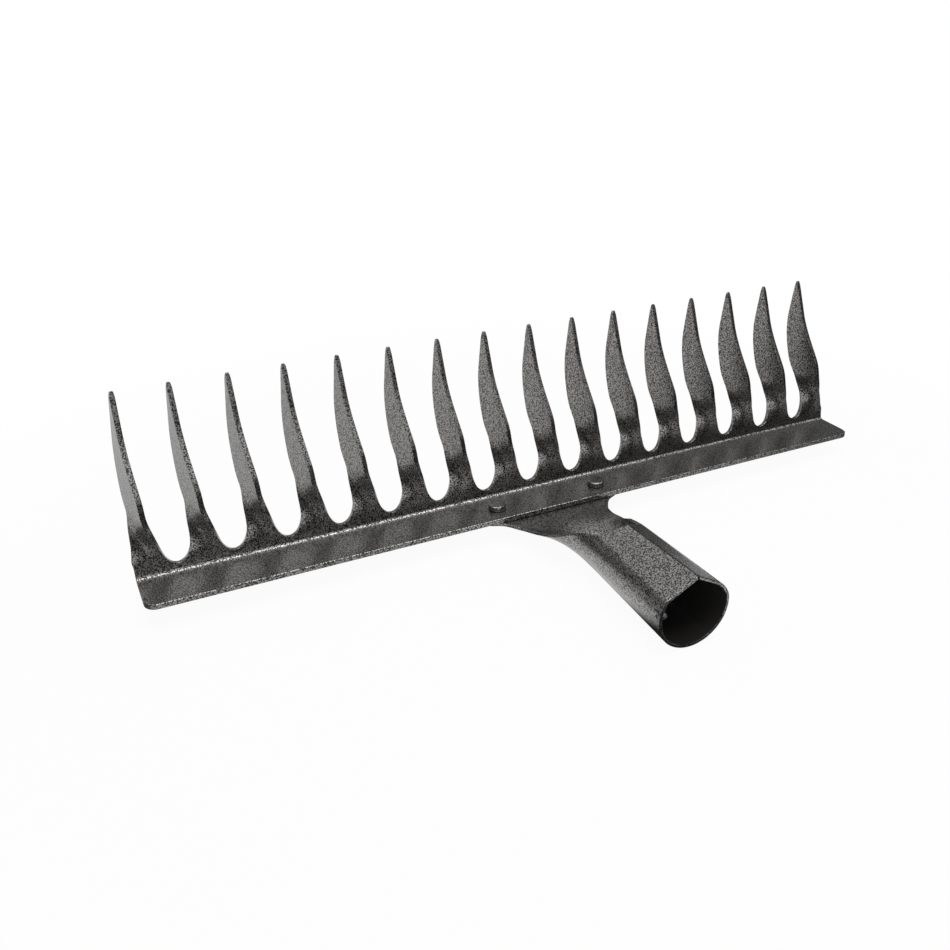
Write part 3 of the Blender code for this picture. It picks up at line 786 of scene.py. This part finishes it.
RIVET_FROM_SIDE = 0.01095
RIVET_FROM_FOLD = 0.0127
RIVET_SHANK_DIAMETER = 0.0050
RIVET_HEAD_DIAMETER = 0.0088
RIVET_HEAD_HEIGHT = 0.0026
RIVET_EDGE_RADIUS = 0.0010
RIVET_TAIL_DIAMETER = 0.0084
RIVET_TAIL_HEIGHT = 0.0020
RIVET_SEED = 4
RIVET_LEAF = (0.27, 0.26, 0.254)
ROUND_STEPS = 48
EDGE_STEPS = 6


def quarter_round(radius, height, upper):
    """Rim of a rivet's head or tail, from its top down."""
    points = []
    for i in range(EDGE_STEPS + 1):
        turn = pi / 2 * i / EDGE_STEPS
        inset = RIVET_EDGE_RADIUS * (1.0 - (sin(turn) if upper else cos(turn)))
        drop = RIVET_EDGE_RADIUS * ((1.0 - cos(turn)) if upper else sin(turn) - 1.0)
        points.append((radius - inset, height - drop))
    return points


def turned_rivet():
    """One rivet, spun from its profile about its own axis."""
    head_top = SHEET_GAP + RIVET_HEAD_HEIGHT
    tail_seat = PLATE_UNDERSIDE - SHEET_GAP
    tail_end = tail_seat - RIVET_TAIL_HEIGHT
    shank = RIVET_SHANK_DIAMETER / 2
    outline = [(0.0, head_top)]
    outline += quarter_round(RIVET_HEAD_DIAMETER / 2, head_top, True)
    outline += [(RIVET_HEAD_DIAMETER / 2, SHEET_GAP), (shank, SHEET_GAP), (shank, tail_seat)]
    outline.append((RIVET_TAIL_DIAMETER / 2, tail_seat))
    outline += quarter_round(RIVET_TAIL_DIAMETER / 2, tail_end, False)
    outline.append((0.0, tail_end))
    mesh = bmesh.new()
    rim = [mesh.verts.new((radius, 0.0, z)) for radius, z in outline]
    edges = [mesh.edges.new(pair) for pair in zip(rim, rim[1:])]
    bmesh.ops.spin(mesh, geom=rim + edges, axis=(0, 0, 1), cent=(0, 0, 0), angle=2 * pi, steps=ROUND_STEPS)
    bmesh.ops.remove_doubles(mesh, verts=mesh.verts, dist=WELD_DISTANCE)
    bmesh.ops.recalc_face_normals(mesh, faces=mesh.faces)
    data = bpy.data.meshes.new("rivets")
    mesh.to_mesh(data)
    mesh.free()
    item = bpy.data.objects.new("rivets", data)
    bpy.context.scene.collection.objects.link(item)
    return item


def pair_of_rivets():
    """Puts a rivet at each point of a short line, each turned about its axis by chance."""
    sockets = [("Count", "Int"), ("First place", "Vector"), ("Step", "Vector"),
               ("Seed", "Int"), ("Paint", "Material")]
    tree, given, result = new_tree("pair_of_rivets", sockets)
    spread = {"Count": given.outputs["Count"], "Start Location": given.outputs["First place"],
              "Offset": given.outputs["Step"]}
    line = add_node(tree, "GeometryNodeMeshLine", spread, mode="OFFSET").outputs[0]
    # Socket 3 holds the highest number to draw, and socket 1 gives the number drawn.
    drawing = {3: 2 * pi, "Seed": given.outputs["Seed"]}
    chance = add_node(tree, "FunctionNodeRandomValue", drawing, data_type="FLOAT").outputs[1]
    turn = add_node(tree, "ShaderNodeCombineXYZ", {"Z": chance}).outputs[0]
    placed = {"Points": line, "Instance": given.outputs["Geometry"], "Rotation": turn}
    instances = add_node(tree, "GeometryNodeInstanceOnPoints", placed).outputs[0]
    real = add_node(tree, "GeometryNodeRealizeInstances", {0: instances}).outputs[0]
    smooth = add_node(tree, "GeometryNodeSetShadeSmooth", {"Geometry": real}).outputs[0]
    painting = {"Geometry": smooth, "Material": given.outputs["Paint"]}
    painted = add_node(tree, "GeometryNodeSetMaterial", painting)
    tree.links.new(painted.outputs[0], result.inputs[0])
    return tree


rivet_paint = hammer_paint("rivet_hammer_paint", RIVET_LEAF)
rivet_reach = PLATE_WIDTH / 2 - RIVET_FROM_SIDE
rivet_first = FOLD_CORNER + Vector((SOCKET_SHIFT - rivet_reach, -RIVET_FROM_FOLD, 0.0))
rivets = run_tree(turned_rivet(), pair_of_rivets(), {
    "Count": 2, "First place": rivet_first, "Step": Vector((2 * rivet_reach, 0.0, 0.0)),
    "Seed": RIVET_SEED, "Paint": rivet_paint})
rivets.data.set_sharp_from_angle(angle=SHARP_TURN)
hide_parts("rivet_left", "rivet_right")
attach(rivets, "root")


# The floor
# A plain pale sheet half a millimetre under the socket's mouth. The camera sees it white, with a faint shadow
# of the rake. The paint mirrors a glow painted on it: painted light behind, fading to the right, a painted
# shadow under the comb, and painted shade in front but for two patches of painted light.

# Levels are what the paint mirrors, where 1 is white. Places are metres from the middle of the rake's box.
FLOOR_SIZE = 16.0
FLOOR_DROP = 0.0005
PAPER = (0.85, 0.85, 0.85)
PAPER_ROUGHNESS = 0.9
PAPER_SPECULAR = 0.1
# Glow that the paint mirrors from the floor: painted shade in front, painted light behind, dimmer to the
# right.
FLOOR_FRONT = 0.02
FLOOR_BEHIND = 0.85
FLOOR_EDGE = (-0.012, 0.000)
FLOOR_RIGHT_SHARE = 0.2
FLOOR_RIGHT_FADE = (0.08, 0.30)
# A painted shadow: in a band under the comb the floor's mirrored glow drops to this level.
UNDER_COMB = 0.062
UNDER_COMB_REACH = (0.030, 0.050)
UNDER_COMB_LEVEL = 0.18
# Two round patches of painted light on the floor, seen in the paint as white cards would be.
PATCH_GLOW_LEVEL = 1.0
PATCH_GLOW_FADE = 0.55
LEFT_GLOW = (-0.029, -0.020, 0.0)
LEFT_GLOW_REACH = (0.030, 0.056, 1.0)
MOUTH_GLOW = (0.045, -0.118, 0.0)
MOUTH_GLOW_REACH = (0.034, 0.034, 1.0)
SHADOW_SHARE = 0.05
SHADOW_FADE = (0.225, 0.45)
WHITE = (1.0, 1.0, 1.0, 1.0)

floor_mesh = bmesh.new()
bmesh.ops.create_grid(floor_mesh, x_segments=1, y_segments=1, size=FLOOR_SIZE / 2)
floor_mesh.transform(Matrix.Translation((0.0, 0.0, cad_box[0][2] - FLOOR_DROP)))
floor_data = bpy.data.meshes.new("floor")
floor_mesh.to_mesh(floor_data)
floor_mesh.free()
floor = bpy.data.objects.new("floor", floor_data)
bpy.context.scene.collection.objects.link(floor)

floor_paper = bpy.data.materials.new("floor_paper")
floor_paper.use_nodes = True
tree = floor_paper.node_tree
paper = tree.nodes["Principled BSDF"]
paper.inputs["Base Color"].default_value = (*PAPER, 1.0)
paper.inputs["Roughness"].default_value = PAPER_ROUGHNESS
paper.inputs["Specular IOR Level"].default_value = PAPER_SPECULAR
on_floor = add_node(tree, "ShaderNodeTexCoord").outputs["Object"]


def glow_patch(middle, reach):
    """A round patch of painted light on the floor, by the distance from its middle."""
    beside = add_node(tree, "ShaderNodeVectorMath", {0: on_floor, 1: middle}, operation="SUBTRACT").outputs[0]
    share = add_node(tree, "ShaderNodeVectorMath", {0: beside, 1: reach}, operation="DIVIDE").outputs[0]
    share = add_node(tree, "ShaderNodeVectorMath", {0: share}, operation="LENGTH").outputs["Value"]
    return ramp(tree, share, (PATCH_GLOW_FADE, 1.0), (PATCH_GLOW_LEVEL, 0.0))


def light_path(tree):
    """Light Path's outputs, and whether a ray comes from a glossy or a clear surface."""
    path = add_node(tree, "ShaderNodeLightPath").outputs
    return path, reckon(tree, "MAXIMUM", path["Is Glossy Ray"], path["Is Transmission Ray"])


spot = add_node(tree, "ShaderNodeSeparateXYZ", {0: on_floor})
# Painted light and shade in the floor's mirrored glow: dark in front, bright behind, dimmer to the right, and
# a painted shadow under the comb.
behind = ramp(tree, spot.outputs["Y"], FLOOR_EDGE, (FLOOR_FRONT, FLOOR_BEHIND))
off_comb = reckon(tree, "ABSOLUTE", reckon(tree, "SUBTRACT", spot.outputs["Y"], UNDER_COMB))
shaded = ramp(tree, off_comb, UNDER_COMB_REACH, (UNDER_COMB_LEVEL, 1.0))
toward_right = ramp(tree, spot.outputs["X"], FLOOR_RIGHT_FADE, (1.0, FLOOR_RIGHT_SHARE))
back_glow = reckon(tree, "MULTIPLY", reckon(tree, "MULTIPLY", behind, toward_right), shaded)
# Two patches of painted light, glowing in the paint though no lamp is there.
left_glow = glow_patch(LEFT_GLOW, LEFT_GLOW_REACH)
mouth_glow = glow_patch(MOUTH_GLOW, MOUTH_GLOW_REACH)
glow = reckon(tree, "MAXIMUM", back_glow, reckon(tree, "MAXIMUM", left_glow, mouth_glow))

path, mirrored = light_path(tree)
strength = reckon(tree, "MAXIMUM", glow, path["Is Camera Ray"])
white = add_node(tree, "ShaderNodeEmission", {"Color": WHITE, "Strength": strength}).outputs[0]
away = add_node(tree, "ShaderNodeVectorMath", {0: on_floor}, operation="LENGTH").outputs["Value"]
blank = ramp(tree, away, SHADOW_FADE, (1.0 - SHADOW_SHARE, 1.0))
to_camera = reckon(tree, "MULTIPLY", path["Is Camera Ray"], blank)
shown_white = reckon(tree, "MAXIMUM", to_camera, mirrored)
floor_mix = add_node(tree, "ShaderNodeMixShader", {0: shown_white, 1: paper.outputs[0], 2: white}).outputs[0]
tree.links.new(floor_mix, tree.nodes["Material Output"].inputs["Surface"])
floor_data.materials.append(floor_paper)


# The light
# A soft box hangs over the rake in an even room, which the camera sees white. In front the paint mirrors
# it dark, with a window, up to a bright ceiling. Behind it is paler, with a lit wall high up and a dark
# curtain at the right.

# Each way points from the rake. The edges of what lies there are the cosines where it starts and is full.
ROOM_LEVEL = 0.36
ROOM_BACK_LEVELS = (0.36, 0.56)
ROOM_BACK_SPAN = (0.1, 0.7)
ROOM_TURN = (-0.2, 0.3)
FRONT_LEVELS = (0.05, 1.0)
FRONT_RISE = (0.24, 0.62)
WINDOW_LEVEL = 1.15
WINDOW_WAY = (-0.2, -0.90, 0.38)
WINDOW_EDGE = (0.86, 0.97)
WALL_LEVEL = 0.34
WALL_WAY = (-0.10, 0.54, 0.84)
WALL_EDGE = (0.80, 0.95)
CURTAIN_SHARE = 0.8
CURTAIN_WAY = (0.74, 0.67, 0.0)
CURTAIN_EDGE = (0.72, 0.94)
SOFT_BOX_SIZE = (1.1, 0.75)
SOFT_BOX_PLACE = (0.05, -0.12, 0.95)
SOFT_BOX_POWER = 6.5

world = bpy.data.worlds.new("room")
bpy.context.scene.world = world
world.use_nodes = True
tree = world.node_tree
direction = add_node(tree, "ShaderNodeTexCoord").outputs["Generated"]


def toward(way, edge, levels):
    """A round patch of the room: the first level away from it, the second where direction meets way."""
    nearness = add_node(tree, "ShaderNodeVectorMath", {0: direction, 1: way}, operation="DOT_PRODUCT")
    return ramp(tree, nearness.outputs["Value"], edge, levels)


def glow_of(level):
    """A white background of an even level, or of one that another node gives."""
    return add_node(tree, "ShaderNodeBackground", {"Color": WHITE, "Strength": level}).outputs[0]


ways = add_node(tree, "ShaderNodeSeparateXYZ", {0: direction})
ceiling = ramp(tree, ways.outputs["Z"], FRONT_RISE, FRONT_LEVELS)
window = toward(WINDOW_WAY, WINDOW_EDGE, (0.0, WINDOW_LEVEL))
front = reckon(tree, "MAXIMUM", ceiling, window)
room_back = ramp(tree, ways.outputs["X"], ROOM_BACK_SPAN, ROOM_BACK_LEVELS, "LINEAR")
curtain = toward(CURTAIN_WAY, CURTAIN_EDGE, (1.0, 1.0 - CURTAIN_SHARE))
wall = toward(WALL_WAY, WALL_EDGE, (0.0, WALL_LEVEL))
back = reckon(tree, "ADD", reckon(tree, "MULTIPLY", room_back, curtain), wall)
to_back = ramp(tree, ways.outputs["Y"], ROOM_TURN)
room_glow = add_node(tree, "ShaderNodeMix", {"Factor": to_back, "A": front, "B": back}).outputs["Result"]

path, mirrored = light_path(tree)
lit_or_mirrored = {0: mirrored, 1: glow_of(ROOM_LEVEL), 2: glow_of(room_glow)}
around = add_node(tree, "ShaderNodeMixShader", lit_or_mirrored).outputs[0]
seen = {0: path["Is Camera Ray"], 1: around, 2: glow_of(1.0)}
room = add_node(tree, "ShaderNodeMixShader", seen).outputs[0]
tree.links.new(room, tree.nodes["World Output"].inputs["Surface"])

soft_light = bpy.data.lights.new("soft_box", "AREA")
soft_light.shape = "RECTANGLE"
soft_light.size, soft_light.size_y = SOFT_BOX_SIZE
soft_light.energy = SOFT_BOX_POWER
soft_box = bpy.data.objects.new("soft_box", soft_light)
soft_box.location = SOFT_BOX_PLACE
bpy.context.scene.collection.objects.link(soft_box)


# The camera
# A fairly wide lens close to the rake. It looks down on the comb's left end from the handle's side, as
# in the photograph, and is shifted a little to frame the rake as the photograph does.

CAMERA_FROM_FOLD = Vector((-0.2202, -0.3943, 0.2374))
CAMERA_TURN = radians(26.92)
CAMERA_TILT = radians(27.17)
CAMERA_ROLL = radians(0.16)
LENS_PIXELS = 973.0
MIDDLE_PIXELS = (22.5, 2.0)
IMAGE_PIXELS = 950.0

ahead = Vector((sin(CAMERA_TURN), cos(CAMERA_TURN), 0.0))
forward = ahead * cos(CAMERA_TILT) - Vector((0.0, 0.0, sin(CAMERA_TILT)))
level = Vector((cos(CAMERA_TURN), -sin(CAMERA_TURN), 0.0))
over = level.cross(forward)
right = level * cos(CAMERA_ROLL) + over * sin(CAMERA_ROLL)
upward = right.cross(forward)
camera_data = bpy.data.cameras.new("camera")
camera_data.sensor_fit = "HORIZONTAL"
camera_data.lens = camera_data.sensor_width * LENS_PIXELS / IMAGE_PIXELS
camera_data.shift_x = -MIDDLE_PIXELS[0] / IMAGE_PIXELS
camera_data.shift_y = MIDDLE_PIXELS[1] / IMAGE_PIXELS
camera = bpy.data.objects.new("camera", camera_data)
turned = Matrix((right, upward, -forward)).transposed().to_4x4()
camera.matrix_world = Matrix.Translation(FOLD_CORNER + CAMERA_FROM_FOLD) @ turned
bpy.context.scene.collection.objects.link(camera)
bpy.context.scene.camera = camera

bpy.context.scene.view_settings.view_transform = "Standard"
